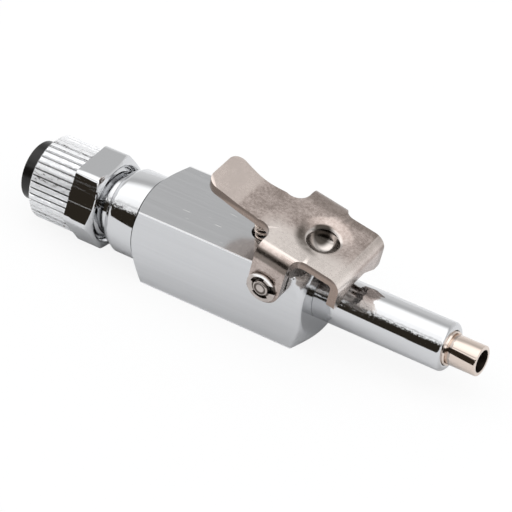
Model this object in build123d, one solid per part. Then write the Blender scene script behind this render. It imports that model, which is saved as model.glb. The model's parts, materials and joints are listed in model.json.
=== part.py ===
"""Shut-off quick disconnect: the probe half of a small latching coupling.

The flow axis is X. The origin is the centre of the square body's front face, where
the mating half's collar seats. +X points out through the probe, +Z up through the latch.
All sizes are in millimetres.
"""
from build123d import *
from math import cos, radians, sin, tan
import os

os.makedirs("parts", exist_ok=True)

# Square bar body
bar_size = 12.7
body_length = 28.6
rim_radius = 6.15
corner_chamfer_angle = 30.0
flow_bore_radius = 2.0

# Probe barrel, screwed into the front of the body on a flat gasket
barrel_radius = 3.57
barrel_length = 20.2
barrel_nose_chamfer = 0.7
barrel_shank_radius = 3.35
barrel_shank_length = 3.0
barrel_gasket_thickness = 0.3
chamber_radius = 2.85
chamber_step = 0.5
seat_from_face = 9.2
guide_radius = 2.54
mouth_countersink = 0.1
gland_from_face = 15.4
gland_width = 1.2
gland_radius = 3.1

# Hollow valve stem
stem_fit = 0.06
stem_tip_radius = 2.23
stem_tip_bore_radius = 1.61
stem_tip_reach = 4.8
stem_tip_round = 0.15
stem_collar_reach = 0.3
stem_collar_groove = 0.16
stem_neck_radius = 1.9
stem_neck_length = 3.4
stem_rear_bore_radius = 1.2
stem_rear_bore_length = 6.3
stem_head_radius = 2.7
stem_head_length = 1.8
stem_head_flat = 2.05
cross_hole_radius = 0.75
head_seal_section = 0.4
stem_spring_wire = 0.5
stem_spring_clearance = 0.2
stem_spring_turns = 7

# Tube adapter screwed into the back of the body
neck_radius = 6.35
neck_length = 5.0
neck_chamfer_length = 1.2
neck_chamfer_depth = 0.6
spigot_radius = 4.7
spigot_length = 6.6
adapter_seal_section = 0.4
adapter_seal_radius = 3.6
stub_radius = 5.3
stub_length = 9.4
stub_relief_length = 1.1
stub_relief_depth = 0.55
tube_radius = 3.175
tube_fit = 0.05
tube_socket_depth = 6.6
cone_mouth_radius = 4.45
cone_length = 2.8

# Compression nut and its captive sleeve
nut_gap = 1.8
nut_hex_size = 12.7
nut_hex_length = 4.4
nut_corner_radius = 1.1
nut_knurl_radius = 6.35
nut_knurl_length = 7.2
nut_face_radius = 6.05
nut_mouth_radius = 5.85
nut_mouth_depth = 0.6
nut_knurl_chamfer = 0.55
nut_shoulder_length = 1.7
nut_travel = 1.2
flute_count = 40
flute_depth = 0.3
flute_half_width = 0.22
sleeve_radius = 4.5
sleeve_reach = 2.4
sleeve_flange_width = 0.9
sleeve_nose_length = 2.6
sleeve_edge_round = 0.15

# Latch lever, one piece of sheet, drawn level and then tipped nose down
sheet = 1.27
latch_pitch = 12.0
pivot_behind_face = 5.3
pivot_above_axis = 4.3
plate_above_pivot = 6.32
bend_inside_radius = 0.58
ear_round_radius = 2.7
ear_swell_above_pivot = 1.5
ear_rear = 2.36
ear_front = 2.84
rear_notch_radius = 2.0
rear_notch_offset = 5.45
front_notch_radius = 1.8
plate_half_width = 5.9
hook_face = 10.15
hook_drop = 5.02
hook_arch_height = 1.8
hook_arch_top = 1.4
hook_arch_foot = 4.6
hook_arch_radius = 1.2
hook_corner_radius = 0.45
tab_rise_angle = 14.5
tab_bend_behind = 8.6
tab_bend_radius = 12.0
tab_length = 14.0
tab_root_half_width = 3.65
tab_waist_behind = 9.2
tab_waist_half_width = 3.35
tab_end_half_width = 3.95
tab_corner_radius = 1.6
stop_dimple_ahead = 3.65
stop_bump_radius = 2.75
stop_cup_radius = 2.3
stop_wall = 0.8
stop_gap = 0.1
stop_dish_radius = 4.3
stop_dish_depth = 0.36
stop_lip_radius = 2.8
stop_lip_depth = 0.8

# Latch pin, its two retaining clips, and the latch spring
pin_radius = 1.19
pin_fit = 0.05
ear_gap = 0.3
clip_gap = 0.05
clip_thickness = 0.35
clip_radius = 2.3
clip_rim_width = 0.55
clip_mouth_width = 1.3
clip_pocket_from = 62.0
clip_pocket_to = 150.0
clip_turn = 10.0
pin_groove_depth = 0.3
pin_end_length = 0.25
pin_dish_radius = 0.8
pin_dish_depth = 0.2
latch_spring_behind_pivot = 4.67
latch_spring_radius = 1.6
latch_spring_wire = 0.4
latch_spring_turns = 7
spring_pocket_radius = 1.98
spring_pocket_floor = 3.3

# Clearances shared by pieces screwed or seated together
screwed_gap = 0.03
seat_gap = 0.05

# Stations along the flow axis that several pieces share
body_rear = -body_length
corner_radius = bar_size / 2 * 2**0.5
corner_run = (corner_radius - rim_radius) * tan(radians(corner_chamfer_angle))
socket_step = -barrel_shank_length - barrel_gasket_thickness - 2 * seat_gap
chamber_rear = socket_step - chamber_step
neck_rear = body_rear - neck_length
stub_rear = neck_rear - stub_length
nut_front = neck_rear - nut_gap
hex_rear = nut_front - nut_hex_length
nut_rear = hex_rear - nut_knurl_length
nut_shoulder = nut_rear + nut_shoulder_length
spigot_front = body_rear + spigot_length
stem_radius = guide_radius - stem_fit
stem_front = barrel_length + stem_tip_reach
collar_front = barrel_length + stem_collar_reach
stem_head_front = seat_from_face - 2 * head_seal_section - seat_gap
stem_head_rear = stem_head_front - stem_head_length
stem_blind_end = seat_from_face + stem_collar_reach
neck_front = seat_from_face + stem_neck_length
ear_inner = bar_size / 2 + ear_gap
ear_outer = ear_inner + sheet
clip_inner = ear_outer + clip_gap
sheet_middle = plate_above_pivot - sheet / 2
bend_middle_radius = bend_inside_radius + sheet / 2
hook_foot = plate_above_pivot - hook_drop
latch_spring_x = -pivot_behind_face - latch_spring_behind_pivot


def turned(*outline):
    """A solid of revolution about X from (x, radius) points."""
    return revolve(Plane.XZ * make_face(Polyline(*outline, close=True)), Axis.X)


def round_edge(piece, x, radius):
    """The circular edges of a turned piece at one station and radius."""
    circles = piece.edges().filter_by(GeomType.CIRCLE)
    return [edge for edge in circles if abs(edge.center().X - x) + abs(edge.radius - radius) < 0.001]


def bore(radius, x_from, x_to):
    """A round cutter along X."""
    return turned((x_from, 0), (x_from, radius), (x_to, radius), (x_to, 0))


def cross_rod(radius, length, x, z):
    """A round rod along Y, centred on the middle plane."""
    return Pos(x, 0, z) * Rot(90, 0, 0) * Cylinder(radius, length)


def seal_ring(section_radius, ring_radius, x):
    """An O-ring about X."""
    return Pos(x, 0, 0) * Rot(0, 90, 0) * Torus(ring_radius, section_radius)


def coil(mean_radius, wire, height, turns):
    """A compression spring standing on Z = 0, its wire wholly inside the height."""
    rise = height - wire
    path = Pos(0, 0, wire / 2) * Helix(rise / turns, rise, mean_radius)
    start = Plane(origin=path @ 0, z_dir=path % 0)
    return sweep(start * Circle(wire / 2), path=path, is_frenet=True)


def make_valve_body():
    bar = Pos(-body_length / 2, 0, 0) * Box(body_length, bar_size, bar_size)
    turned_ends = turned(
        (0, 0),
        (0, rim_radius),
        (-corner_run, corner_radius),
        (body_rear + corner_run, corner_radius),
        (body_rear, rim_radius),
        (body_rear, 0),
    )
    body = bar & turned_ends
    body -= bore(barrel_shank_radius + screwed_gap, socket_step, bar_size)
    body -= bore(chamber_radius, chamber_rear, 0)
    body -= bore(flow_bore_radius, body_rear, 0)
    socket_floor = spigot_front + 2 * adapter_seal_section + seat_gap
    body -= bore(spigot_radius + screwed_gap, body_rear - bar_size, socket_floor)
    body -= cross_rod(pin_radius, 2 * bar_size, -pivot_behind_face, pivot_above_axis)
    pocket_depth = bar_size / 2 - spring_pocket_floor
    pocket_middle = spring_pocket_floor + pocket_depth / 2
    body -= Pos(latch_spring_x, 0, pocket_middle) * Cylinder(spring_pocket_radius, pocket_depth)
    return body


def make_barrel_gasket():
    rear = socket_step + seat_gap
    front = rear + barrel_gasket_thickness
    return turned(
        (rear, chamber_radius),
        (rear, barrel_shank_radius),
        (front, barrel_shank_radius),
        (front, chamber_radius),
    )


def make_probe_barrel():
    mouth_radius = guide_radius + mouth_countersink
    barrel = turned(
        (-barrel_shank_length, chamber_radius),
        (-barrel_shank_length, barrel_shank_radius),
        (0, barrel_shank_radius),
        (0, barrel_radius),
        (barrel_length, barrel_radius),
        (barrel_length, mouth_radius),
        (barrel_length - 2 * mouth_countersink, guide_radius),
        (gland_from_face + gland_width, guide_radius),
        (gland_from_face + gland_width, gland_radius),
        (gland_from_face, gland_radius),
        (gland_from_face, guide_radius),
        (seat_from_face, guide_radius),
        (seat_from_face, chamber_radius),
    )
    return fillet(round_edge(barrel, barrel_length, barrel_radius), barrel_nose_chamfer)


def make_valve_stem():
    groove_radius = stem_tip_radius - stem_collar_groove
    rear_bore_front = stem_blind_end + stem_rear_bore_length
    stem = turned(
        (stem_head_rear, 0),
        (stem_head_rear, stem_head_radius),
        (stem_head_front, stem_head_radius),
        (stem_head_front, stem_neck_radius),
        (neck_front, stem_neck_radius),
        (neck_front, stem_radius),
        (collar_front, stem_radius),
        (collar_front, groove_radius),
        (collar_front + stem_collar_groove, groove_radius),
        (collar_front + stem_collar_groove, stem_tip_radius),
        (stem_front, stem_tip_radius),
        (stem_front, stem_tip_bore_radius),
        (rear_bore_front, stem_tip_bore_radius),
        (rear_bore_front, stem_rear_bore_radius),
        (stem_blind_end, stem_rear_bore_radius),
        (stem_blind_end, 0),
    )
    cross_hole_x = stem_blind_end + cross_hole_radius + stem_tip_round
    for turn in (0, 90):
        stem -= Rot(turn, 0, 0) * Pos(cross_hole_x, 0, 0) * Cylinder(cross_hole_radius, 2 * bar_size)
    stem -= make_head_flats()
    return fillet(round_edge(stem, stem_front, stem_tip_radius), stem_tip_round)


def make_head_flats():
    """Three flats on the stem's head, so that fluid can pass it in the chamber."""
    middle = (stem_head_rear + stem_head_front) / 2
    cutter = Box(stem_head_length, bar_size, bar_size)
    flats = []
    for turn in (0, 120, 240):
        flats += [Rot(turn, 0, 0) * Pos(middle, 0, stem_head_flat + bar_size / 2) * cutter]
    return flats


def make_stem_head_seal():
    ring_radius = stem_neck_radius + head_seal_section + screwed_gap
    return seal_ring(head_seal_section, ring_radius, stem_head_front + head_seal_section)


def make_stem_gland_seal():
    section = (gland_radius - stem_radius - screwed_gap) / 2
    return seal_ring(section, gland_radius - section, gland_from_face + gland_width / 2)


def make_stem_spring():
    length = stem_head_rear - chamber_rear - 2 * seat_gap
    mean_radius = chamber_radius - stem_spring_clearance - stem_spring_wire / 2
    spring = coil(mean_radius, stem_spring_wire, length, stem_spring_turns)
    return Pos(chamber_rear + seat_gap, 0, 0) * Rot(0, 90, 0) * spring


def make_tube_adapter():
    relief_front = neck_rear - stub_relief_length
    tube_stop = stub_rear + tube_socket_depth
    socket_radius = tube_radius + tube_fit
    return turned(
        (spigot_front, flow_bore_radius),
        (spigot_front, spigot_radius),
        (body_rear, spigot_radius),
        (body_rear, neck_radius),
        (neck_rear + neck_chamfer_length, neck_radius),
        (neck_rear, neck_radius - neck_chamfer_depth),
        (neck_rear, stub_radius - stub_relief_depth),
        (relief_front, stub_radius - stub_relief_depth),
        (relief_front, stub_radius),
        (stub_rear, stub_radius),
        (stub_rear, cone_mouth_radius),
        (stub_rear + cone_length, socket_radius),
        (tube_stop, socket_radius),
        (tube_stop, flow_bore_radius),
    )


def make_adapter_seal():
    return seal_ring(adapter_seal_section, adapter_seal_radius, spigot_front + adapter_seal_section)


def make_knurl():
    """The fluted grip behind the hexagon."""
    blank = Circle(nut_knurl_radius)
    spread = 2 * flute_half_width
    flute = make_face(
        Polyline(
            (nut_knurl_radius - flute_depth, 0),
            (nut_knurl_radius + flute_depth, spread),
            (nut_knurl_radius + flute_depth, -spread),
            close=True,
        )
    )
    for number in range(flute_count):
        blank -= Rot(0, 0, number * 360 / flute_count) * flute
    grip = Pos(nut_rear, 0, 0) * Rot(0, 90, 0) * extrude(blank, nut_knurl_length)
    ends = turned(
        (hex_rear, 0),
        (hex_rear, nut_knurl_radius),
        (nut_rear + nut_knurl_chamfer, nut_knurl_radius),
        (nut_rear, nut_knurl_radius - nut_knurl_chamfer),
        (nut_rear, 0),
    )
    return grip & ends


def make_compression_nut():
    hex_corner = nut_hex_size / 2 / cos(radians(30))
    face_run = (hex_corner - nut_face_radius) * tan(radians(corner_chamfer_angle))
    hexagon = RegularPolygon(nut_hex_size / 2, 6, major_radius=False, rotation=30)
    hexagon = fillet(hexagon.vertices(), nut_corner_radius)
    hex_block = Pos(hex_rear, 0, 0) * Rot(0, 90, 0) * extrude(hexagon, nut_hex_length)
    hex_ends = turned(
        (hex_rear, 0),
        (hex_rear, hex_corner),
        (nut_front - face_run, hex_corner),
        (nut_front, nut_face_radius),
        (nut_front, 0),
    )
    nut = (hex_block & hex_ends) + make_knurl()
    thread_radius = stub_radius + tube_fit
    front = nut_front + nut_mouth_depth
    nut -= turned(
        (nut_shoulder, 0),
        (nut_shoulder, thread_radius),
        (nut_front - nut_mouth_depth, thread_radius),
        (nut_front, nut_mouth_radius),
        (front, nut_mouth_radius),
        (front, 0),
    )
    nut -= bore(sleeve_radius + tube_fit, nut_rear - nut_knurl_chamfer, nut_shoulder)
    return nut


def make_compression_sleeve():
    """The captive sleeve: its nose just meets the cone when the nut is drawn right up."""
    rear = nut_rear - sleeve_reach
    flange_rear = nut_shoulder + seat_gap
    flange_front = flange_rear + sleeve_flange_width
    bore_radius = tube_radius + tube_fit
    cone_slope = (cone_mouth_radius - bore_radius) / cone_length
    short_of_cone = stub_rear - flange_front - nut_travel - seat_gap
    nose_root_radius = cone_mouth_radius + cone_slope * short_of_cone
    nose_tip_radius = nose_root_radius - cone_slope * sleeve_nose_length
    sleeve = turned(
        (rear, bore_radius),
        (rear, sleeve_radius),
        (flange_rear, sleeve_radius),
        (flange_rear, stub_radius),
        (flange_front, stub_radius),
        (flange_front, nose_root_radius),
        (flange_front + sleeve_nose_length, nose_tip_radius),
        (flange_front + sleeve_nose_length, bore_radius),
    )
    rims = round_edge(sleeve, rear, sleeve_radius) + round_edge(sleeve, rear, bore_radius)
    return fillet(rims, sleeve_edge_round)


def bent_sheet(*points, radii):
    """A strip of sheet seen edge on, from its middle line and its bend radii."""
    return trace(FilletPolyline(*points, radius=radii), sheet)


def make_tab_and_hook():
    """The lengthwise strip: thumb tab, plate and the hook bent down in front."""
    past_end = tab_length + sheet
    end_rise = (past_end - tab_bend_behind) * tan(radians(tab_rise_angle))
    profile = bent_sheet(
        (-past_end, sheet_middle + end_rise),
        (-tab_bend_behind, sheet_middle),
        (hook_face - sheet / 2, sheet_middle),
        (hook_face - sheet / 2, hook_foot),
        radii=[tab_bend_radius, bend_middle_radius],
    )
    strip = extrude(Plane.XZ * profile, bar_size, both=True)
    strip &= extrude(plan_outline(), 3 * plate_above_pivot, both=True)
    return strip & extrude(Plane.YZ * hook_outline(), 2 * tab_length, both=True)


def tab_edge(side):
    """One hollow side of the thumb tab, seen from above."""
    return ThreePointArc(
        (-tab_length, side * tab_end_half_width),
        (-tab_waist_behind, side * tab_waist_half_width),
        (-ear_rear - rear_notch_radius, side * tab_root_half_width),
    )


def plan_outline():
    """The strip seen from above, with the notches beside the ears."""
    edges = [tab_edge(side) for side in (-1, 1)]
    ends = [Line(edges[0] @ end, edges[1] @ end) for end in (0, 1)]
    tab = fillet(make_face(edges + ends).vertices().group_by(Axis.X)[0], tab_corner_radius)
    shoulders = rectangle(-ear_rear - rear_notch_radius, -ear_rear, rear_notch_offset)
    outline = tab + shoulders + rectangle(-ear_rear, hook_face, plate_half_width)
    for side in (-1, 1):
        outline -= Pos(-ear_rear - rear_notch_radius, side * rear_notch_offset) * Circle(rear_notch_radius)
        outline -= front_notch(side)
    return outline


def rectangle(x_from, x_to, half_width):
    """A rectangle centred across the latch's middle plane."""
    return Pos((x_from + x_to) / 2, 0) * Rectangle(x_to - x_from, 2 * half_width)


def front_notch(side):
    """The round notch between an ear and the plate's side edge."""
    middle = side * (plate_half_width + front_notch_radius)
    return Pos(ear_front + front_notch_radius, middle) * Circle(front_notch_radius)


def hook_outline():
    """The hook seen from the front: two prongs beside a low arch over the barrel."""
    arch_top = hook_foot + hook_arch_height
    prong_corners = [hook_corner_radius] * 2
    edge = FilletPolyline(
        (-plate_half_width, plate_above_pivot),
        (-plate_half_width, hook_foot),
        (-hook_arch_foot, hook_foot),
        (-hook_arch_top, arch_top),
        (hook_arch_top, arch_top),
        (hook_arch_foot, hook_foot),
        (plate_half_width, hook_foot),
        (plate_half_width, plate_above_pivot),
        radius=prong_corners + [hook_arch_radius] * 2 + prong_corners,
    )
    closing = Line(edge @ 0, edge @ 1)
    above = Pos(0, 2 * plate_above_pivot - sheet) * Rectangle(4 * plate_half_width, 2 * plate_above_pivot)
    return make_face(edge.edges() + closing.edges()) + above


def make_ears():
    """The crosswise channel: plate over the bar and an ear down each side."""
    ear_middle = ear_inner + sheet / 2
    below = -2 * ear_round_radius
    section = bent_sheet(
        (-ear_middle, below),
        (-ear_middle, sheet_middle),
        (ear_middle, sheet_middle),
        (ear_middle, below),
        radii=[bend_middle_radius] * 2,
    )
    front = ear_front + front_notch_radius
    channel = Pos(-ear_rear, 0, 0) * extrude(Plane.YZ * section, front + ear_rear)
    straight = plate_above_pivot - sheet - bend_inside_radius
    upper = make_face(
        Polyline(
            (-ear_round_radius, 0),
            (-ear_round_radius, ear_swell_above_pivot),
            (-ear_rear, straight),
            (-ear_rear, 2 * plate_above_pivot),
            (front, 2 * plate_above_pivot),
            (front, straight),
            (ear_front, straight),
            (ear_round_radius, 0),
            close=True,
        )
    )
    channel &= extrude(Plane.XZ * (upper + Circle(ear_round_radius)), bar_size, both=True)
    for side in (-1, 1):
        channel -= extrude(front_notch(side), 2 * plate_above_pivot, both=True)
    return channel


def stop_floor():
    """How high above the pivot the stop's lowest point lies when the latch is level."""
    tilt = radians(latch_pitch)
    top_of_bar = bar_size / 2 + stop_gap - pivot_above_axis
    middle = (top_of_bar + stop_bump_radius + stop_dimple_ahead * sin(tilt)) / cos(tilt)
    return middle - stop_bump_radius


def make_stop_bump():
    """The underside of the pressed stop: a ball that rests on the bar."""
    slab = Box(bar_size, bar_size, plate_above_pivot)
    below_sheet_middle = Pos(stop_dimple_ahead, 0, sheet_middle - plate_above_pivot / 2) * slab
    ball = Pos(stop_dimple_ahead, 0, stop_floor() + stop_bump_radius) * Sphere(stop_bump_radius)
    return ball & below_sheet_middle


def make_stop_hollow():
    """The punch's round hollow above the bump, in a shallow dish with a rounded lip."""
    middle = stop_floor() + stop_wall + stop_cup_radius
    bottom = (0, middle - stop_cup_radius)
    drop = middle - plate_above_pivot + stop_lip_depth
    join = ((stop_cup_radius**2 - drop**2) ** 0.5, middle - drop)
    halfway = (stop_cup_radius / 2**0.5, middle - stop_cup_radius / 2**0.5)
    rim = (stop_dish_radius, plate_above_pivot)
    dish = Line(rim, (stop_lip_radius, plate_above_pivot - stop_dish_depth))
    lip = TangentArc(dish @ 1, join, tangent=dish % 1)
    bowl = ThreePointArc(join, halfway, bottom)
    cover = plate_above_pivot + sheet
    closing = Polyline(bottom, (0, cover), (stop_dish_radius, cover), rim)
    hollow = revolve(Plane.XZ * make_face(dish + lip + bowl + closing), Axis.Z)
    return Pos(stop_dimple_ahead, 0, 0) * hollow


def make_latch_lever():
    lever = make_tab_and_hook() + make_ears() + make_stop_bump()
    lever -= make_stop_hollow()
    lever -= cross_rod(pin_radius + pin_fit, 3 * bar_size, 0, 0)
    return Pos(-pivot_behind_face, 0, pivot_above_axis) * Rot(0, latch_pitch, 0) * lever


def make_latch_pin():
    half_length = clip_inner + clip_thickness + pin_end_length
    pin = cross_rod(pin_radius, 2 * half_length, 0, 0)
    rims = pin.edges().filter_by(GeomType.CIRCLE)
    pin = chamfer(rims, pin_groove_depth / 2)
    groove = Cylinder(2 * pin_radius, clip_thickness)
    groove -= Cylinder(pin_radius - pin_groove_depth, clip_thickness)
    for side in (-1, 1):
        middle = side * (clip_inner + clip_thickness / 2)
        pin -= Pos(0, middle, 0) * Rot(90, 0, 0) * groove
        pin -= Pos(0, side * half_length, 0) * Rot(90, 0, 0) * make_dish()
    return Pos(-pivot_behind_face, 0, pivot_above_axis) * pin


def make_dish():
    """The shallow round hollow in each end of the pin, as a lens to be cut out."""
    ball_radius = (pin_dish_radius**2 + pin_dish_depth**2) / (2 * pin_dish_depth)
    offset = ball_radius - pin_dish_depth
    return Pos(0, 0, offset) * Sphere(ball_radius) & Pos(0, 0, -offset) * Sphere(ball_radius)


def make_clip():
    """One retaining clip, flat: three lugs on the pin's groove, open towards +X."""
    seat_radius = pin_radius - pin_groove_depth + screwed_gap
    clip = Circle(clip_radius) - Circle(seat_radius)
    clip -= Pos(clip_radius, 0) * Rectangle(2 * clip_radius, clip_mouth_width)
    ring = Circle(clip_radius - clip_rim_width)
    reach = 2 * clip_radius
    for side in (-1, 1):
        start = side * radians(clip_pocket_from)
        end = side * radians(clip_pocket_to)
        middle = (start + end) / 2
        corners = [(reach * cos(angle), reach * sin(angle)) for angle in (start, middle, end)]
        clip -= ring & make_face(Polyline((0, 0), *corners, close=True))
    return extrude(Rot(0, 0, clip_turn) * clip, clip_thickness)


def make_latch_clips():
    """Both clips, each lying just outside its ear."""
    clips = []
    for outer_face in (-clip_inner, clip_inner + clip_thickness):
        place = Pos(-pivot_behind_face, outer_face, pivot_above_axis) * Rot(90, 0, 0)
        clips += (place * make_clip()).solids()
    return Compound(clips)


def tab_underside_height(x):
    """How high the flat part of the tab's underside stands above the flow axis."""
    tilt = radians(latch_pitch)
    underside = (plate_above_pivot - sheet) / cos(tilt)
    return pivot_above_axis + underside - (x + pivot_behind_face) * tan(tilt)


def make_latch_spring():
    top = tab_underside_height(latch_spring_x + latch_spring_radius) - seat_gap
    bottom = spring_pocket_floor + seat_gap
    mean_radius = latch_spring_radius - latch_spring_wire / 2
    spring = coil(mean_radius, latch_spring_wire, top - bottom, latch_spring_turns)
    return Pos(latch_spring_x, 0, bottom) * spring


pieces = {
    "valve_body": make_valve_body(),
    "probe_barrel": make_probe_barrel(),
    "barrel_gasket": make_barrel_gasket(),
    "valve_stem": make_valve_stem(),
    "stem_head_seal": make_stem_head_seal(),
    "stem_gland_seal": make_stem_gland_seal(),
    "stem_spring": make_stem_spring(),
    "tube_adapter": make_tube_adapter(),
    "adapter_seal": make_adapter_seal(),
    "compression_nut": make_compression_nut(),
    "compression_sleeve": make_compression_sleeve(),
    "latch_lever": make_latch_lever(),
    "latch_pin": make_latch_pin(),
    "latch_clips": make_latch_clips(),
    "latch_spring": make_latch_spring(),
}

for name, piece in pieces.items():
    export_step(piece, f"parts/{name}.step")
    print(name, round(piece.volume, 2))
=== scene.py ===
# %% [markdown]
# # A shut-off quick disconnect
# This lesson dresses the plug half of a small push-together coupling: a chromed square bar
# with a long probe at one end, a knurled tube nut at the other, and a sprung thumb latch on
# top. The solid parts come from a CAD model as a fixed frame in metres, with +X out through
# the probe and +Z up. The lesson adds screw threads, softened edges, finishes, a studio and
# a camera.

import json
from math import pi, radians, tan

import bmesh
import bpy
from mathutils import Matrix, Vector

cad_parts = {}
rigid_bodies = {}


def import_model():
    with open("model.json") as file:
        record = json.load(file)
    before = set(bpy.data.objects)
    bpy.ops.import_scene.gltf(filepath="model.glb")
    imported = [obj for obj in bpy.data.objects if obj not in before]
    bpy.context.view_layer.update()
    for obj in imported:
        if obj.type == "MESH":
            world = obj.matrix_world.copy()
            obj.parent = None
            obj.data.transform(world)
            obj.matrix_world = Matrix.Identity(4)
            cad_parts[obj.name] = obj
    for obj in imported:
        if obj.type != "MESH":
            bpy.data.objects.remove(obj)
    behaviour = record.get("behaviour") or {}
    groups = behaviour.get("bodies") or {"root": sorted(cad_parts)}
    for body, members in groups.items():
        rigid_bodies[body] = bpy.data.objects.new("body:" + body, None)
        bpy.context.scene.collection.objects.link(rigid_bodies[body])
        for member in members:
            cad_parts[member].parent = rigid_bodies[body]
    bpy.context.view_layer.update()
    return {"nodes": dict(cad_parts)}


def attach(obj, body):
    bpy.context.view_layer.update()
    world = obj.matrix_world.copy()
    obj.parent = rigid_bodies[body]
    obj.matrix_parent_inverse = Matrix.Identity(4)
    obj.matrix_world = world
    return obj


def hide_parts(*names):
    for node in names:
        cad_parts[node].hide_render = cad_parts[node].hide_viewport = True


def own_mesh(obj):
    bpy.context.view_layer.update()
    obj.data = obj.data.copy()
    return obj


for leftover in list(bpy.data.objects):
    bpy.data.objects.remove(leftover)
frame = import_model()
nodes = frame["nodes"]

MM = 0.001

# %% [markdown]
# ## The camera
# The picture was taken with a long lens from in front, above and to the near side. A long
# lens keeps the bar's edges almost parallel. Three turns aim the camera: round the part,
# up over it, and a slight roll that the photographer left in.

# %% Camera
CAMERA_PLACE = Vector((0.158298, -0.258899, 0.256721))
CAMERA_AZIMUTH = 33.266
CAMERA_ELEVATION = 39.515
CAMERA_ROLL = 0.740
CAMERA_LENS_MM = 202.1

camera_data = bpy.data.cameras.new("camera")
camera_data.lens = CAMERA_LENS_MM
camera_data.sensor_width = 36.0
camera_data.clip_start = 0.01
camera = bpy.data.objects.new("camera", camera_data)
bpy.context.collection.objects.link(camera)
camera.matrix_world = (
    Matrix.Translation(CAMERA_PLACE)
    @ Matrix.Rotation(radians(CAMERA_AZIMUTH), 4, "Z")
    @ Matrix.Rotation(radians(90 - CAMERA_ELEVATION), 4, "X")
    @ Matrix.Rotation(radians(CAMERA_ROLL), 4, "Z")
)
bpy.context.scene.camera = camera
bpy.context.scene.view_settings.view_transform = "Standard"
print("camera at", tuple(camera.location))

# %% [markdown]
# ## The studio
# Chrome has almost no colour of its own: it shows the room. This room is a long soft light
# overhead, a dark gap at eye level on the camera's side, and pale grey behind. All three
# are bands that run along the part, so the world's brightness is a ramp on the angle
# around the X axis. Rays from the camera see plain white instead.

# %% The room as a ramp around the part's axis
# Angle from straight up towards the camera's side, in degrees, and brightness there.
ROOM_BANDS = [
    (-90, 0.95),
    (-62, 0.84),
    (-46, 0.66),
    (-38, 0.74),
    (-24, 1.62),
    (-5, 1.80),
    (14, 1.70),
    (30, 1.40),
    (36, 0.62),
    (40, 0.95),
    (44, 1.60),
    (60, 1.50),
]
ROOM_FROM = -180
ROOM_TO = 180
DARK_GAP = (0.033, 0.027, 0.02)
GAP_FROM = 47
GAP_SOFT = 7

world = bpy.data.worlds.new("studio")
bpy.context.scene.world = world
world.use_nodes = True
sky = world.node_tree
sky.nodes.clear()


def wire(tree, source, target):
    """Joins two sockets, each given as (node, socket name or number)."""
    tree.links.new(source[0].outputs[source[1]], target[0].inputs[target[1]])


def maths(tree, operation, first, second=None):
    """A Math node on one or two inputs, each a number or a (node, socket)."""
    node = tree.nodes.new("ShaderNodeMath")
    node.operation = operation
    for number, value in enumerate((first, second)):
        if isinstance(value, tuple):
            wire(tree, value, (node, number))
        elif value is not None:
            node.inputs[number].default_value = value
    return (node, 0)


def ramp(tree, source, stops):
    """A colour ramp through (place, grey level or colour) stops."""
    node = tree.nodes.new("ShaderNodeValToRGB")
    wire(tree, source, (node, 0))
    points = node.color_ramp.elements
    while len(points) < len(stops):
        points.new(0.5)
    for point, (place, level) in zip(points, stops):
        point.position = place
        point.color = (level, level, level, 1) if isinstance(level, (int, float)) else (*level, 1)
    return (node, 0)


def spread(tree, source, low, high, at_low=0.0, at_high=1.0, shape="LINEAR"):
    """Maps a value onto low to high, where the value itself runs from at_low to at_high."""
    node = tree.nodes.new("ShaderNodeMapRange")
    node.interpolation_type = shape
    wire(tree, source, (node, "Value"))
    node.inputs["From Min"].default_value = at_low
    node.inputs["From Max"].default_value = at_high
    node.inputs["To Min"].default_value = low
    node.inputs["To Max"].default_value = high
    return (node, 0)


def between(tree, factor, first, second):
    """Mixes two colours by a factor."""
    node = tree.nodes.new("ShaderNodeMix")
    node.data_type = "RGBA"
    wire(tree, factor, (node, "Factor"))
    for name, value in (("A", first), ("B", second)):
        socket = [s for s in node.inputs if s.name == name and s.type == "RGBA"][0]
        if isinstance(value[0], (int, float)):
            socket.default_value = (*value, 1)
        else:
            tree.links.new(value[0].outputs[value[1]], socket)
    output = [number for number, s in enumerate(node.outputs) if s.type == "RGBA"][0]
    return (node, output)


direction = sky.nodes.new("ShaderNodeTexCoord")
parts = sky.nodes.new("ShaderNodeSeparateXYZ")
wire(sky, (direction, "Generated"), (parts, 0))
towards_camera = maths(sky, "MULTIPLY", (parts, 1), -1.0)
angle = maths(sky, "ARCTAN2", towards_camera, (parts, 2))
degrees_round = maths(sky, "MULTIPLY", angle, 180 / pi)
along_ramp = spread(sky, degrees_round, 0.0, 1.0, ROOM_FROM, ROOM_TO)
stops = [((band - ROOM_FROM) / (ROOM_TO - ROOM_FROM), level / 2) for band, level in ROOM_BANDS]
bands = ramp(sky, along_ramp, stops)

in_gap = spread(sky, degrees_round, 0.0, 1.0, GAP_FROM, GAP_FROM + GAP_SOFT)
gap_color = tuple(part / 2 for part in DARK_GAP)
light = between(sky, in_gap, bands, gap_color)
room = sky.nodes.new("ShaderNodeBackground")
room.inputs["Strength"].default_value = 2.0
wire(sky, light, (room, "Color"))
plain = sky.nodes.new("ShaderNodeBackground")
plain.inputs["Color"].default_value = (1, 1, 1, 1)
ray = sky.nodes.new("ShaderNodeLightPath")
either = sky.nodes.new("ShaderNodeMixShader")
wire(sky, (ray, "Is Camera Ray"), (either, 0))
wire(sky, (room, 0), (either, 1))
wire(sky, (plain, 0), (either, 2))
sky_out = sky.nodes.new("ShaderNodeOutputWorld")
wire(sky, (either, 0), (sky_out, "Surface"))
print("room bands:", len(ROOM_BANDS))

# %% [markdown]
# ## The floor
# A big pale sheet under the part. It catches the part's soft shadow, and the chrome's lower
# faces mirror it. Part of its brightness is plain white for the camera, which keeps the
# background as clean as a catalogue page without putting more light on the part.

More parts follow.
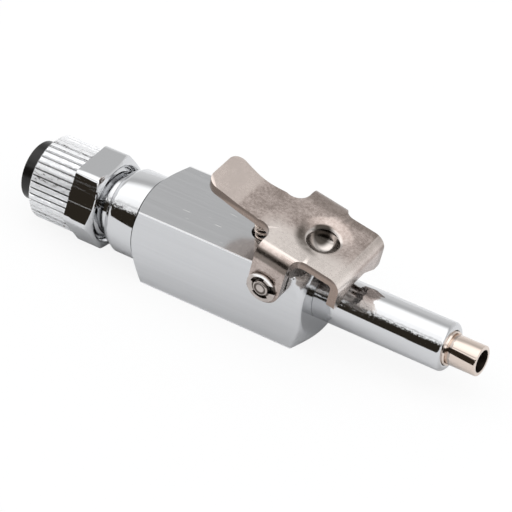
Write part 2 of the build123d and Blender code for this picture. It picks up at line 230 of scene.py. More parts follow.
# %% Floor
FLOOR_HALF = 3.0
FLOOR_BELOW_AXIS = 6.37 * MM
FLOOR_PAPER = (0.86, 0.865, 0.875, 1)
FLOOR_PLAIN_SHARE = 0.88

floor_shape = bmesh.new()
bmesh.ops.create_grid(floor_shape, x_segments=1, y_segments=1, size=FLOOR_HALF)
bmesh.ops.translate(floor_shape, verts=floor_shape.verts, vec=(0, 0, -FLOOR_BELOW_AXIS))
floor_mesh = bpy.data.meshes.new("floor")
floor_shape.to_mesh(floor_mesh)
floor_shape.free()
floor = bpy.data.objects.new("floor", floor_mesh)
bpy.context.collection.objects.link(floor)

paper = bpy.data.materials.new("floor_paper")
paper.use_nodes = True
tree = paper.node_tree
tree.nodes.clear()
matt = tree.nodes.new("ShaderNodeBsdfDiffuse")
matt.inputs["Color"].default_value = FLOOR_PAPER
glow = tree.nodes.new("ShaderNodeEmission")
glow.inputs["Color"].default_value = (1, 1, 1, 1)
ray = tree.nodes.new("ShaderNodeLightPath")
share = maths(tree, "MULTIPLY", (ray, "Is Camera Ray"), FLOOR_PLAIN_SHARE)
either = tree.nodes.new("ShaderNodeMixShader")
wire(tree, share, (either, 0))
wire(tree, (matt, 0), (either, 1))
wire(tree, (glow, 0), (either, 2))
paper_out = tree.nodes.new("ShaderNodeOutputMaterial")
wire(tree, (either, 0), (paper_out, "Surface"))
floor_mesh.materials.append(paper)
print("floor", 2 * FLOOR_HALF, "m across")

# %% [markdown]
# ## Finishes
# Most of this part is plated or tumbled steel, so the finishes are metals whose roughness
# and fine bumps differ. Effects that several finishes share are node groups: each puts out
# a value that changes over the surface, and the finish decides what to do with it.


# %% Helpers for node groups and finishes
def new_group(name, inputs, outputs):
    """An empty shader node group with float inputs and outputs."""
    group = bpy.data.node_groups.new(name, "ShaderNodeTree")
    for label, value in inputs.items():
        socket = group.interface.new_socket(label, in_out="INPUT", socket_type="NodeSocketFloat")
        socket.default_value = value
    for label in outputs:
        group.interface.new_socket(label, in_out="OUTPUT", socket_type="NodeSocketFloat")
    return group, group.nodes.new("NodeGroupInput"), group.nodes.new("NodeGroupOutput")


def place_group(tree, group, **values):
    """One use of a node group in a finish, with its own values."""
    node = tree.nodes.new("ShaderNodeGroup")
    node.node_tree = group
    for label, value in values.items():
        node.inputs[label].default_value = value
    return node


def stretched_noise(tree, scales, detail=2.0, roughness=0.5):
    """Noise on the piece's own coordinates, in repeats per metre along X, Y and Z."""
    place = tree.nodes.new("ShaderNodeTexCoord")
    stretch = tree.nodes.new("ShaderNodeMapping")
    stretch.inputs["Scale"].default_value = scales
    wire(tree, (place, "Object"), (stretch, "Vector"))
    noise = tree.nodes.new("ShaderNodeTexNoise")
    noise.inputs["Scale"].default_value = 1.0
    noise.inputs["Detail"].default_value = detail
    noise.inputs["Roughness"].default_value = roughness
    wire(tree, (stretch, 0), (noise, "Vector"))
    return (noise, 0)


def finish(name, color, metallic, roughness):
    """A new material with its Principled shader."""
    material = bpy.data.materials.new(name)
    material.use_nodes = True
    tree = material.node_tree
    shader = tree.nodes["Principled BSDF"]
    shader.inputs["Base Color"].default_value = (*color, 1)
    shader.inputs["Metallic"].default_value = metallic
    shader.inputs["Roughness"].default_value = roughness
    return material, tree, shader


def bump(tree, shader, height, distance):
    """Feeds a height through a Bump node into the shader's normal."""
    node = tree.nodes.new("ShaderNodeBump")
    node.inputs["Distance"].default_value = distance
    node.inputs["Strength"].default_value = 1.0
    wire(tree, height, (node, "Height"))
    wire(tree, (node, 0), (shader, "Normal"))


def split(tree, source):
    """The three parts of a vector, as a list of (node, socket)."""
    node = tree.nodes.new("ShaderNodeSeparateXYZ")
    wire(tree, source, (node, 0))
    return [(node, 0), (node, 1), (node, 2)]


def rise(tree, source, low, high):
    """A soft step: 0 below low, 1 above high."""
    return spread(tree, source, 0.0, 1.0, low, high, "SMOOTHSTEP")


def both(tree, *masks):
    """The product of several masks."""
    product = masks[0]
    for mask in masks[1:]:
        product = maths(tree, "MULTIPLY", product, mask)
    return product


def flip(tree, mask):
    """One minus a mask."""
    return maths(tree, "SUBTRACT", 1.0, mask)


def length_of(tree, first, second):
    """The length of a flat vector, given its two parts."""
    squares = [maths(tree, "MULTIPLY", part, part) for part in (first, second)]
    return maths(tree, "SQRT", maths(tree, "ADD", *squares))


def apart(tree, source, middle):
    """How far a value is from a middle one, either way."""
    return maths(tree, "ABSOLUTE", maths(tree, "SUBTRACT", source, middle))


print("helpers ready")

# %% [markdown]
# ### Specks
# Plated parts pick up tiny pits and dirt. A Voronoi pattern gives one random dot per cell;
# only the smallest distances count, so most of the surface stays clean.

# %% Specks group
SPECK_SHARE = 0.22

specks_group, given, put = new_group("specks", {"Cells": 700.0, "Size": 0.12}, ["Mask"])
place = specks_group.nodes.new("ShaderNodeTexCoord")
cells = specks_group.nodes.new("ShaderNodeTexVoronoi")
wire(specks_group, (place, "Object"), (cells, "Vector"))
wire(specks_group, (given, "Cells"), (cells, "Scale"))
lucky = specks_group.nodes.new("ShaderNodeSeparateColor")
wire(specks_group, (cells, "Color"), (lucky, 0))
rare = maths(specks_group, "LESS_THAN", (lucky, 0), SPECK_SHARE)
near = maths(specks_group, "LESS_THAN", (cells, "Distance"), (given, "Size"))
wire(specks_group, maths(specks_group, "MULTIPLY", rare, near), (put, "Mask"))
print("specks group ready")

# %% [markdown]
# ### Polished chrome on turned pieces
# The probe and neck were turned in a lathe, polished and chromed. Polishing leaves faint
# marks across the axis. A strip along the near upper side is rougher from handling, and
# breaks up the dark reflection's upper edge there into dashes.

# %% Turned chrome
CHROME = (0.60, 0.605, 0.615)
DIRT = (0.22, 0.17, 0.13)
STRIP_FROM = 34
STRIP_TO = 58
KNOCK_DEPTH = 0.06 * MM

turned_chrome, tree, shader = finish("turned_chrome", CHROME, 1.0, 0.05)
place = tree.nodes.new("ShaderNodeTexCoord")
along, across, up = split(tree, (place, "Object"))
lean = maths(tree, "ARCTAN2", maths(tree, "MULTIPLY", across, -1.0), up)
on_strip = both(
    tree,
    rise(tree, lean, radians(STRIP_FROM), radians(STRIP_FROM + 10)),
    flip(tree, rise(tree, lean, radians(STRIP_TO - 7), radians(STRIP_TO))),
)
marks = stretched_noise(tree, (4200, 700, 700), detail=3.0)
knocks = stretched_noise(tree, (3000, 1300, 1300), detail=3.0, roughness=0.6)
height = maths(tree, "ADD", maths(tree, "MULTIPLY", marks, 0.07), both(tree, knocks, on_strip))
bump(tree, shader, height, KNOCK_DEPTH)
cloud = stretched_noise(tree, (240, 240, 240), detail=3.0)
wire(tree, spread(tree, cloud, 0.03, 0.09), (shader, "Roughness"))
dirt = place_group(tree, specks_group, Cells=520.0, Size=0.07)
wire(tree, between(tree, (dirt, "Mask"), CHROME, DIRT), (shader, "Base Color"))
print("turned chrome ready")

# %% [markdown]
# ### The nut's chrome
# The knurl is rolled, not polished: its crests are dull and pale, and its flutes are thin
# and darkened by painted shade, varied at random.
# The hexagon keeps flat bright faces, with thin rubbed lines along them from spanners.

# %% Nut chrome
KNURL_FRONT = -39.8 * MM
KNURL_CREST = 6.35 * MM
RUB_HEIGHT = 2.5 * MM
HEX_TONE = (0.64, 0.645, 0.655)
CREST_TONE = (0.84, 0.845, 0.855)
FLUTE_SHADE = (0.15, 0.15, 0.15)
FLUTE_PALE = (0.75, 0.75, 0.76)

nut_chrome, tree, shader = finish("nut_chrome", CHROME, 1.0, 0.06)
place = tree.nodes.new("ShaderNodeTexCoord")
along, across, up = split(tree, (place, "Object"))
from_axis = length_of(tree, across, up)
on_knurl = flip(tree, rise(tree, along, KNURL_FRONT - 0.2 * MM, KNURL_FRONT))
on_crest = rise(tree, from_axis, KNURL_CREST - 0.22 * MM, KNURL_CREST - 0.08 * MM)
worn = stretched_noise(tree, (1500, 2600, 2600), detail=3.0, roughness=0.7)
crest_blur = spread(tree, worn, 0.2, 0.7, 0.36, 0.52)
knurl_blur = maths(tree, "MAXIMUM", both(tree, on_crest, crest_blur), 0.1)
lines = stretched_noise(tree, (60, 2300, 2300), detail=2.0, roughness=0.7)
above_rub = both(
    tree,
    rise(tree, up, RUB_HEIGHT - 0.3 * MM, RUB_HEIGHT),
    flip(tree, rise(tree, up, 5.9 * MM, 6.2 * MM)),
)
streaked = both(tree, rise(tree, lines, 0.55, 0.63), above_rub, 0.55)
one_line = flip(tree, rise(tree, apart(tree, up, RUB_HEIGHT), 0.03 * MM, 0.09 * MM))
rubbed = spread(tree, maths(tree, "MAXIMUM", streaked, one_line), 0.05, 0.4)
hex_blur = both(tree, flip(tree, on_knurl), rubbed)
roughness = maths(tree, "ADD", both(tree, on_knurl, knurl_blur), hex_blur)
wire(tree, roughness, (shader, "Roughness"))
pits = stretched_noise(tree, (2600, 2600, 2600), detail=3.0)
bump(tree, shader, both(tree, pits, spread(tree, on_knurl, 0.2, 1.0)), 0.000012)
# Painted shade: the flutes are coloured dark, mixed at random with a paler tone.
shaded_flute_tone = between(tree, worn, FLUTE_SHADE, FLUTE_PALE)
knurl_tone = between(tree, on_crest, shaded_flute_tone, CREST_TONE)
nut_tone = between(tree, on_knurl, HEX_TONE, knurl_tone)
dirt = place_group(tree, specks_group, Cells=560.0, Size=0.09)
wire(tree, between(tree, (dirt, "Mask"), nut_tone, DIRT), (shader, "Base Color"))
print("nut chrome ready")

# %% [markdown]
# ### Chrome on the drawn bar
# The square body is drawn bar, polished along its length. Long faint lines follow the
# axis on top, and a few bright scratches lie across them. Its long edges are rougher from
# rubbing and carry a painted highlight in a paler tone.

# %% Bar chrome
BAR_HALF = 6.35 * MM
BAR_DARK = (0.55, 0.555, 0.565)
BAR_PALE = (0.66, 0.665, 0.675)
SCRATCH_TONE = (0.95, 0.95, 0.94)
EDGE_HIGHLIGHT_TONE = (0.92, 0.92, 0.93)
BAR_DIRT = (0.26, 0.2, 0.16)
SCRATCH_ANGLE = 38

bar_chrome, tree, shader = finish("bar_chrome", CHROME, 1.0, 0.12)
place = tree.nodes.new("ShaderNodeTexCoord")
along, across, up = split(tree, (place, "Object"))
on_top = rise(tree, up, BAR_HALF - 0.2 * MM, BAR_HALF - 0.05 * MM)
streaks = stretched_noise(tree, (45, 2600, 2600), detail=4.0, roughness=0.7)
waves = stretched_noise(tree, (90, 420, 420), detail=2.0)
height = maths(tree, "ADD", maths(tree, "MULTIPLY", streaks, 0.6), waves)
bump(tree, shader, both(tree, height, spread(tree, on_top, 0.4, 1.0)), 0.0000035)
in_square = maths(tree, "MINIMUM", maths(tree, "ABSOLUTE", across), maths(tree, "ABSOLUTE", up))
on_edge = rise(tree, in_square, BAR_HALF - 0.24 * MM, BAR_HALF - 0.12 * MM)
polish = spread(tree, streaks, 0.07, 0.2)
blur = maths(tree, "MAXIMUM", polish, maths(tree, "MULTIPLY", on_edge, 0.34))
wire(tree, blur, (shader, "Roughness"))

turned = tree.nodes.new("ShaderNodeMapping")
turned.inputs["Rotation"].default_value = (0, 0, radians(SCRATCH_ANGLE))
turned.inputs["Scale"].default_value = (260, 3400, 500)
wire(tree, (place, "Object"), (turned, "Vector"))
scrapes = tree.nodes.new("ShaderNodeTexNoise")
scrapes.inputs["Scale"].default_value = 1.0
scrapes.inputs["Detail"].default_value = 1.0
wire(tree, (turned, 0), (scrapes, "Vector"))
scratch = both(tree, rise(tree, (scrapes, 0), 0.74, 0.78), on_top)
tone = between(tree, streaks, BAR_DARK, BAR_PALE)
scratched = between(tree, scratch, tone, SCRATCH_TONE)
# Painted highlight along the long edges, which are also rougher from rubbing.
edge_highlighted = between(tree, on_edge, scratched, EDGE_HIGHLIGHT_TONE)
dirt = place_group(tree, specks_group, Cells=330.0, Size=0.055)
wire(tree, between(tree, (dirt, "Mask"), edge_highlighted, BAR_DIRT), (shader, "Base Color"))
print("bar chrome ready")

# %% [markdown]
# ### Tumbled latch steel
# The latch is stamped from stainless sheet and tumbled, which leaves a warm satin skin
# with fine mottling. Its own axes are pitched nose down, so a Mapping node turns the
# object's coordinates to suit: u runs forward along the plate, w is the height above it.

# %% The latch's own coordinates
LATCH_PITCH = 12.0
PIVOT = Vector((-5.3 * MM, 0, 4.3 * MM))
STOP_AHEAD = 3.65 * MM
BEND_FOOT = 4.45 * MM

PLACES = ["u", "y", "w"]
FACINGS = ["facing u", "facing y", "facing w"]
latch_axes, given, put = new_group("latch_axes", {}, PLACES + FACINGS)
place = latch_axes.nodes.new("ShaderNodeTexCoord")
lay = latch_axes.nodes.new("ShaderNodeMapping")
lay.vector_type = "TEXTURE"
lay.inputs["Location"].default_value = PIVOT
lay.inputs["Rotation"].default_value = (0, radians(LATCH_PITCH), 0)
wire(latch_axes, (place, "Object"), (lay, "Vector"))
turn = latch_axes.nodes.new("ShaderNodeMapping")
turn.vector_type = "VECTOR"
turn.inputs["Rotation"].default_value = (0, -radians(LATCH_PITCH), 0)
wire(latch_axes, (place, "Normal"), (turn, "Vector"))
given_out = split(latch_axes, (lay, 0)) + split(latch_axes, (turn, 0))
for label, part in zip(PLACES + FACINGS, given_out):
    wire(latch_axes, part, (put, label))
print("latch axes ready")

# %% [markdown]
# The tumbling reached the tab's end best, so it is brighter. Cut edges are dark and
# pinkish. A painted highlight lies on the plate's near part and along the hook's folded
# nose. Painted shade lies on the plate's far part, on faces turned down, low on the near
# ear, on the bend over the near ear, on one side of the pressed stop, on the far side of
# the stop's cup and round the pin under the clip.

# %% Where the latch is bright or dark, much of it painted light and shade
FOLD_LINE = 8.95 * MM
SHADE_BEHIND_STOP = 1.2 * MM
SHADE_ACROSS = 1.6 * MM

latch_steel, tree, shader = finish("latch_steel", (0.44, 0.372, 0.34), 1.0, 0.28)
axes = place_group(tree, latch_axes)
u, y, w = (axes, "u"), (axes, "y"), (axes, "w")
near_side = maths(tree, "MULTIPLY", y, -1.0)
facing_near = maths(tree, "MULTIPLY", (axes, "facing y"), -1.0)
facing_up = (axes, "facing w")

flat_on = flip(tree, rise(tree, facing_near, 0.1, 0.5))
tab_end = flip(tree, rise(tree, u, -9.0 * MM, -8.3 * MM))
# Painted highlight: a paler patch on the near part of the plate.
near_highlight_zone = both(
    tree,
    rise(tree, near_side, 0.2 * MM, 3.6 * MM),
    rise(tree, u, -5.0 * MM, -2.0 * MM),
    flat_on,
)
# Painted shade: the far part of the plate is darker.
far_shade_zone = rise(tree, y, 4.0 * MM, 5.4 * MM)
# Painted shade: faces turned downwards are darker.
shade_underneath = flip(tree, rise(tree, facing_up, -0.6, -0.3))
on_ear = rise(tree, near_side, 6.2 * MM, 6.5 * MM)
# Painted shade: the near ear is darker low down, by the body.
lower_ear_shade = both(tree, flip(tree, rise(tree, w, -2.6 * MM, 0.6 * MM)), on_ear)
# Painted shade: the bend over the near ear is darker.
bend_shade = both(
    tree,
    rise(tree, facing_near, 0.6, 0.72),
    rise(tree, w, BEND_FOOT - 0.45 * MM, BEND_FOOT),
    on_ear,
)
near_pivot = flip(tree, rise(tree, length_of(tree, u, w), 2.15 * MM, 2.3 * MM))
# Painted shade: the ear's face round the pin, under the clip, is near black.
shade_under_clip = both(tree, near_pivot, rise(tree, facing_near, 0.9, 0.95))
flat_rim = flip(tree, rise(tree, near_side, 6.05 * MM, 6.3 * MM))
near_front = rise(tree, near_side, 5.95 * MM, 6.1 * MM)
ear_front = both(tree, rise(tree, (axes, "facing u"), 0.4, 0.7), near_front)
# Painted highlight on the upward faces of the hook's folded nose, with a thin pale line across
# the bend.
fold_highlight = both(tree, rise(tree, u, 8.9 * MM, 9.1 * MM), rise(tree, facing_up, 0.3, 0.6))
fold_highlight_line = flip(tree, rise(tree, apart(tree, u, FOLD_LINE), 0.05 * MM, 0.14 * MM))

off_stop = maths(tree, "SUBTRACT", u, STOP_AHEAD)
from_stop = length_of(tree, off_stop, y)
off_the_stop = rise(tree, from_stop, 3.0 * MM, 3.3 * MM)
cut_edge = both(tree, rise(tree, facing_near, 0.45, 0.75), flat_rim, off_the_stop)
in_cup = flip(tree, rise(tree, from_stop, 2.45 * MM, 2.75 * MM))
# Painted shade: a patchy dark ring on one side of the pressed stop.
sideways = maths(tree, "MULTIPLY", near_side, 0.72)
towards_stop_shade = maths(tree, "SUBTRACT", sideways, maths(tree, "MULTIPLY", off_stop, 0.69))
stop_side_shade = both(
    tree,
    rise(tree, towards_stop_shade, 1.2 * MM, 2.6 * MM),
    rise(tree, from_stop, 2.3 * MM, 2.8 * MM),
    flip(tree, rise(tree, from_stop, 3.4 * MM, 4.5 * MM)),
)
off_shade = maths(tree, "SUBTRACT", u, STOP_AHEAD - SHADE_BEHIND_STOP)
side_shade = maths(tree, "SUBTRACT", y, SHADE_ACROSS)
# Painted shade: the far side of the stop's cup is near black.
cup_shade = both(
    tree,
    flip(tree, rise(tree, length_of(tree, off_shade, side_shade), 0.9 * MM, 1.8 * MM)),
    flip(tree, rise(tree, from_stop, 2.7 * MM, 3.1 * MM)),
)
print("latch masks ready")

# %% [markdown]
# Each coat lays a colour over the skin so far, where its mask is and by its amount. Fine
# sand-like mottling lies over the latch, and its grain fades on the tab's end and in the cup.

# %% Latch steel
SKIN = (0.45, 0.38, 0.348)
SKIN_DARK = (0.33, 0.272, 0.245)
SKIN_PALE = (0.57, 0.495, 0.457)
FAR_SHADE_SKIN = (0.2, 0.165, 0.145)
TAB_SKIN = (0.66, 0.575, 0.53)
# The colour of painted highlights on the latch.
HIGHLIGHT_SKIN = (0.78, 0.715, 0.67)
CUP_SKIN = (0.58, 0.535, 0.505)
CUT_SKIN = (0.17, 0.135, 0.115)
LOW_CUT_SKIN = (0.3, 0.235, 0.2)
# The colour of painted shade on the latch.
SHADED_SKIN = (0.095, 0.08, 0.066)
SHADE = (0.03, 0.025, 0.02)

sand = stretched_noise(tree, (2400, 2400, 2400), detail=4.0, roughness=0.7)
patches = stretched_noise(tree, (260, 260, 260), detail=4.0, roughness=0.6)
sandy = maths(tree, "MULTIPLY", maths(tree, "ADD", sand, patches), 0.5)
skin = ramp(tree, sandy, [(0.38, SKIN_DARK), (0.5, SKIN), (0.62, SKIN_PALE)])
patchy_stop_shade = both(tree, stop_side_shade, spread(tree, patches, 0.45, 1.0, 0.35, 0.55))
edge_tone = between(tree, rise(tree, w, 5.6 * MM, 6.1 * MM), LOW_CUT_SKIN, CUT_SKIN)
coats = [
    (tab_end, 1.0, TAB_SKIN),
    (near_highlight_zone, 0.9, HIGHLIGHT_SKIN),
    (far_shade_zone, 0.6, FAR_SHADE_SKIN),
    (fold_highlight, 0.45, HIGHLIGHT_SKIN),
    (fold_highlight_line, 0.4, HIGHLIGHT_SKIN),
    (patchy_stop_shade, 0.9, SHADED_SKIN),
    (in_cup, 1.0, CUP_SKIN),
    (cup_shade, 0.96, SHADE),
    (lower_ear_shade, 0.5, SHADED_SKIN),
    (bend_shade, 0.72, SHADED_SKIN),
    (shade_under_clip, 0.9, SHADE),
    (cut_edge, 1.0, edge_tone),
    (ear_front, 0.8, CUT_SKIN),
    (shade_underneath, 0.4, SHADED_SKIN),
]
for mask, amount, color in coats:
    skin = between(tree, maths(tree, "MULTIPLY", mask, amount), skin, color)
wire(tree, skin, (shader, "Base Color"))
tumbled = spread(tree, sandy, 0.2, 0.36, 0.35, 0.65)
tab_polish = maths(tree, "MULTIPLY", tab_end, 0.05)
smoother = maths(tree, "MAXIMUM", tab_polish, maths(tree, "MULTIPLY", in_cup, 0.09))
wire(tree, maths(tree, "SUBTRACT", tumbled, smoother), (shader, "Roughness"))
grit = maths(tree, "MAXIMUM", tab_end, in_cup)
bump(tree, shader, maths(tree, "MULTIPLY", sand, spread(tree, grit, 1.0, 0.35)), 0.000012)
print("latch steel ready,", len(coats), "coats")

# %% [markdown]
# ### The small metals
# The valve stem is nickel plated, with a warm tint, and its bore is painted near black as
# shade. The pin and clips are bright pressed steel, with painted shade in rings where they
# meet and a painted highlight on the clip's upper rim. Spring wire is drawn.

# %% Nickel, bright steel and spring wire
STEM_BORE = 1.61 * MM
NICKEL = (0.68, 0.585, 0.52)
UNLIT = (0.022, 0.017, 0.013)
STEEL_DARK = (0.34, 0.295, 0.27)
STEEL_PALE = (0.6, 0.55, 0.52)
GLINT = (0.95, 0.94, 0.93)
RING_SHADE = (0.06, 0.048, 0.04)

nickel, tree, shader = finish("stem_nickel", NICKEL, 1.0, 0.07)
place = tree.nodes.new("ShaderNodeTexCoord")
along, across, up = split(tree, (place, "Object"))
from_axis = length_of(tree, across, up)
in_bore = flip(tree, rise(tree, from_axis, STEM_BORE + 0.02 * MM, STEM_BORE + 0.1 * MM))
# Painted shade: the bore is coloured near black.
wire(tree, between(tree, in_bore, NICKEL, UNLIT), (shader, "Base Color"))
marks = stretched_noise(tree, (6000, 500, 500), detail=2.0)
bump(tree, shader, marks, 0.000002)
smooth = spread(tree, stretched_noise(tree, (300, 300, 300)), 0.04, 0.12)
stem_blur = maths(tree, "MAXIMUM", smooth, maths(tree, "MULTIPLY", in_bore, 0.5))
wire(tree, stem_blur, (shader, "Roughness"))

bright_steel, tree, shader = finish("bright_steel", (0.62, 0.58, 0.55), 1.0, 0.16)
place = tree.nodes.new("ShaderNodeTexCoord")
along, across, up = split(tree, (place, "Object"))
off_x = maths(tree, "SUBTRACT", along, PIVOT.x)
off_z = maths(tree, "SUBTRACT", up, PIVOT.z)
from_pin = length_of(tree, off_x, off_z)


def ring(radius, half_width):
    """A soft ring round the pin's axis."""
    off = apart(tree, from_pin, radius)
    return flip(tree, rise(tree, off, half_width * 0.5, half_width))


# Painted highlight: a pale arc on the upper part of the clip's rim.
upward = maths(tree, "ADD", off_z, maths(tree, "MULTIPLY", off_x, 0.25))
glint = both(tree, ring(1.98 * MM, 0.3 * MM), rise(tree, upward, 1.2 * MM, 1.7 * MM))
# Painted shade: dark rings on the pin's dished end and where pin and clip meet.
pin_ring_shade = maths(tree, "MAXIMUM", ring(0.78 * MM, 0.22 * MM), ring(1.3 * MM, 0.2 * MM))
dents = stretched_noise(tree, (1500, 1500, 1500), detail=3.0)
bump(tree, shader, dents, 0.000014)
wire(tree, spread(tree, dents, 0.08, 0.22), (shader, "Roughness"))
bright = between(tree, glint, between(tree, dents, STEEL_DARK, STEEL_PALE), GLINT)
ring_shaded = between(tree, maths(tree, "MULTIPLY", pin_ring_shade, 0.9), bright, RING_SHADE)
wire(tree, ring_shaded, (shader, "Base Color"))

spring_wire, tree, shader = finish("spring_wire", (0.62, 0.53, 0.47), 1.0, 0.22)
drawn = stretched_noise(tree, (2500, 2500, 600), detail=3.0)
bump(tree, shader, drawn, 0.000004)
wire(tree, spread(tree, drawn, 0.16, 0.34), (shader, "Roughness"))
print("small metals ready")

# %% [markdown]
# ### Plastic, rubber and fibre
# The captive sleeve is black moulded plastic. The seals are matt rubber, and the washer
# behind the probe is pale fibre. They are dark or hidden, so their detail is slight.

# %% Plastic, rubber and fibre
black_plastic, tree, shader = finish("sleeve_plastic", (0.006, 0.005, 0.004), 0.0, 0.36)
moulded = stretched_noise(tree, (1800, 1800, 1800), detail=3.0)
bump(tree, shader, moulded, 0.000006)
wire(tree, spread(tree, moulded, 0.16, 0.3), (shader, "Roughness"))
shader.inputs["IOR"].default_value = 1.38
scuffs = stretched_noise(tree, (350, 900, 900), detail=4.0, roughness=0.7)
scuffed = between(tree, scuffs, (0.004, 0.0035, 0.003), (0.012, 0.011, 0.01))
wire(tree, scuffed, (shader, "Base Color"))

rubber, tree, shader = finish("seal_rubber", (0.014, 0.014, 0.014), 0.0, 0.6)
powder = stretched_noise(tree, (2600, 2600, 2600), detail=4.0)
bump(tree, shader, powder, 0.000006)
powdery = between(tree, powder, (0.009, 0.009, 0.009), (0.03, 0.029, 0.028))
wire(tree, powdery, (shader, "Base Color"))

fibre, tree, shader = finish("gasket_fibre", (0.5, 0.47, 0.4), 0.0, 0.8)
strands = stretched_noise(tree, (2000, 5200, 1300), detail=5.0, roughness=0.7)
bump(tree, shader, strands, 0.00001)
fibrous = between(tree, strands, (0.4, 0.37, 0.31), (0.6, 0.57, 0.5))
wire(tree, fibrous, (shader, "Base Color"))
print("soft finishes ready")

# %% [markdown]
# ## Screw threads
# The CAD model holds the stub and the nut's bore as plain cylinders at the thread's size.
# Here the real thread is wound: a small V-shaped face is spun round the axis while it moves
# along by one pitch a turn. Outside thread and inside thread are half a pitch apart, so
# they mesh, and stay meshed as the nut turns.

# %% Wind a ridge
PITCH = 25.4 / 24 * MM
STEPS_A_TURN = 48
CREST_FLAT = 0.16 * MM
HALF_V = radians(30)
FADED_HEIGHT = 0.05


def wind_ridge(shape, root, crest, first, last):
    """Winds a right-hand ridge round the X axis, from x first to last, and fades its ends."""
    foot = CREST_FLAT / 2 + abs(crest - root) * tan(HALF_V)
    outline = [(-foot, root), (-CREST_FLAT / 2, crest), (CREST_FLAT / 2, crest), (foot, root)]
    before = set(shape.verts)
    corners = [shape.verts.new((first + x, 0, radius)) for x, radius in outline]
    face = shape.faces.new(corners)
    steps = round((last - first) / PITCH * STEPS_A_TURN)
    bmesh.ops.spin(
        shape,
        geom=[face] + list(face.edges) + corners,
        cent=(0, 0, 0),
        axis=(1, 0, 0),
        dvec=(PITCH / STEPS_A_TURN, 0, 0),
        angle=2 * pi * steps / STEPS_A_TURN,
        steps=steps,
        use_merge=False,
    )
    wound = [vert for vert in shape.verts if vert not in before]
    for vert in wound:
        ends = min(vert.co.x - first + foot, last + foot - vert.co.x)
        height = min(1.0, max(FADED_HEIGHT, ends / PITCH))
        radius = Vector((0, vert.co.y, vert.co.z)).length
        faded = root + (radius - root) * height
        vert.co.y *= faded / radius
        vert.co.z *= faded / radius
    faces = {face for vert in wound for face in vert.link_faces}
    bmesh.ops.recalc_face_normals(shape, faces=list(faces))
    print("ridge of", steps, "steps,", len(wound), "points")


# %% [markdown]
# The adapter is a merged copy of its CAD mesh. The stub's surface is drawn in to the
# thread's root, and the ridge stands on it.

# %% The threaded adapter
STUB_FROM = -43.0 * MM
STUB_TO = -34.7 * MM
STUB_CREST = 5.27 * MM
STUB_ROOT = 4.78 * MM
STUB_SURFACE_FROM = 5.2 * MM
THREAD_INSET = 0.5 * MM
SUNK = 0.02 * MM
SLACK = 0.01 * MM
JOIN_WITHIN = 0.002 * MM
SMOOTH_ANGLE = 30.0


def settle(shape, name, material):
    """Makes an object of a bmesh, smooth except where faces meet at an angle."""
    for edge in shape.edges:
        edge.smooth = len(edge.link_faces) == 2 and edge.calc_face_angle() < radians(SMOOTH_ANGLE)
    for face in shape.faces:
        face.smooth = True
    mesh = bpy.data.meshes.new(name)
    shape.to_mesh(mesh)
    shape.free()
    stored = mesh.attributes.get("custom_normal")
    if stored:
        mesh.attributes.remove(stored)
    piece = bpy.data.objects.new(name, mesh)
    bpy.context.collection.objects.link(piece)
    mesh.materials.clear()
    mesh.materials.append(material)
    return piece


shape = bmesh.new()
shape.from_mesh(nodes["tube_adapter"].data)
bmesh.ops.remove_doubles(shape, verts=shape.verts, dist=JOIN_WITHIN)
for vert in shape.verts:
    radius = Vector((0, vert.co.y, vert.co.z)).length
    if STUB_FROM - SLACK < vert.co.x < STUB_TO + SLACK and radius > STUB_SURFACE_FROM:
        vert.co.y *= STUB_ROOT / radius
        vert.co.z *= STUB_ROOT / radius
thread_first = STUB_FROM + THREAD_INSET
wind_ridge(shape, STUB_ROOT - SUNK, STUB_CREST, thread_first, STUB_TO - THREAD_INSET)
threaded_adapter = settle(shape, "threaded_adapter", turned_chrome)
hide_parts("tube_adapter")
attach(threaded_adapter, "fitting")
print("threaded adapter:", len(threaded_adapter.data.polygons), "faces")

# %% The thread inside the nut
NUT_ROOT = 5.37 * MM
NUT_CREST = 4.92 * MM
NUT_TURNS = 6

shape = bmesh.new()
nut_first = thread_first - PITCH / 2
wind_ridge(shape, NUT_ROOT, NUT_CREST, nut_first, nut_first + NUT_TURNS * PITCH)
nut_thread = settle(shape, "nut_thread", turned_chrome)
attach(nut_thread, "nut")
print("nut thread:", len(nut_thread.data.polygons), "faces")

# %% [markdown]
# ## Springs
# Each spring is a merged copy of its CAD mesh, smooth shaded in spring wire, which takes
# the CAD node's place and is attached to the fitting.

# %% Spring copies
TAB_SPRING_KEEP = 0.765
VALVE_SPRING_KEEP = 0.709


def shortening_spring(node, name, keep):
    """A merged copy of a CAD spring, in spring wire, in place of the CAD node."""
    shape = bmesh.new()
    shape.from_mesh(nodes[node].data)
    bmesh.ops.remove_doubles(shape, verts=shape.verts, dist=JOIN_WITHIN)
    coil = settle(shape, name, spring_wire)
    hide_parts(node)
    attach(coil, "fitting")
    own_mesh(coil)
    print(name, "shortens to", keep, "of its length")


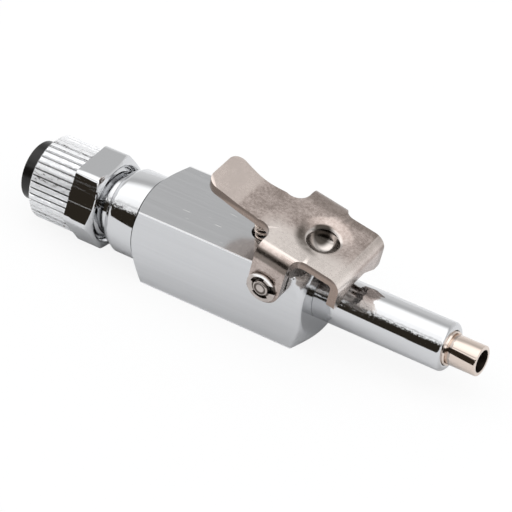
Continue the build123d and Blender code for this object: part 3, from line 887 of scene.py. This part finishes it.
shortening_spring(
    "latch_spring", "tab_spring", TAB_SPRING_KEEP
)
shortening_spring(
    "stem_spring", "valve_spring", VALVE_SPRING_KEEP
)

# %% [markdown]
# ## Dressing the solid parts
# A CAD node keeps its shape, and takes the finish in its material slot. Its mesh is loose
# triangles, so a Weld modifier joins them first and a small Bevel then rounds the sharp
# edges, which is what catches the light along a real machined edge.

# %% Finishes and softened edges on the CAD nodes
FINISH_OF = {
    "valve_body": bar_chrome,
    "probe_barrel": turned_chrome,
    "barrel_gasket": fibre,
    "valve_stem": nickel,
    "stem_head_seal": rubber,
    "stem_gland_seal": rubber,
    "adapter_seal": rubber,
    "compression_nut": nut_chrome,
    "compression_sleeve": black_plastic,
    "latch_lever": latch_steel,
    "latch_pin": bright_steel,
    "latch_clips": bright_steel,
}
EDGE_ROUND = {
    "valve_body": 0.16 * MM,
    "probe_barrel": 0.06 * MM,
    "compression_nut": 0.05 * MM,
    "latch_lever": 0.14 * MM,
    "latch_pin": 0.05 * MM,
    "latch_clips": 0.05 * MM,
    "valve_stem": 0.04 * MM,
}
EDGE_ANGLE = 24.0
BENT_SHEET = ("latch_lever",)
FACE_AREA_WEIGHT = 50


def soften_edges(piece, width, bent):
    """Rounds a CAD node's sharp edges by modifiers, with even shading on a bent sheet."""
    weld = piece.modifiers.new("join_triangles", "WELD")
    weld.merge_threshold = JOIN_WITHIN
    edges = piece.modifiers.new("edge_round", "BEVEL")
    edges.width = width
    edges.segments = 2
    edges.limit_method = "ANGLE"
    edges.angle_limit = radians(EDGE_ANGLE)
    edges.use_clamp_overlap = True
    edges.harden_normals = not bent
    if bent:
        shading = piece.modifiers.new("even_shading", "WEIGHTED_NORMAL")
        shading.mode = "FACE_AREA"
        shading.weight = FACE_AREA_WEIGHT
        shading.keep_sharp = False


for name, material in FINISH_OF.items():
    piece = nodes[name]
    piece.material_slots[0].material = material
    if name in EDGE_ROUND:
        soften_edges(piece, EDGE_ROUND[name], name in BENT_SHEET)
print("dressed", len(FINISH_OF), "nodes,", len(EDGE_ROUND), "with softened edges")
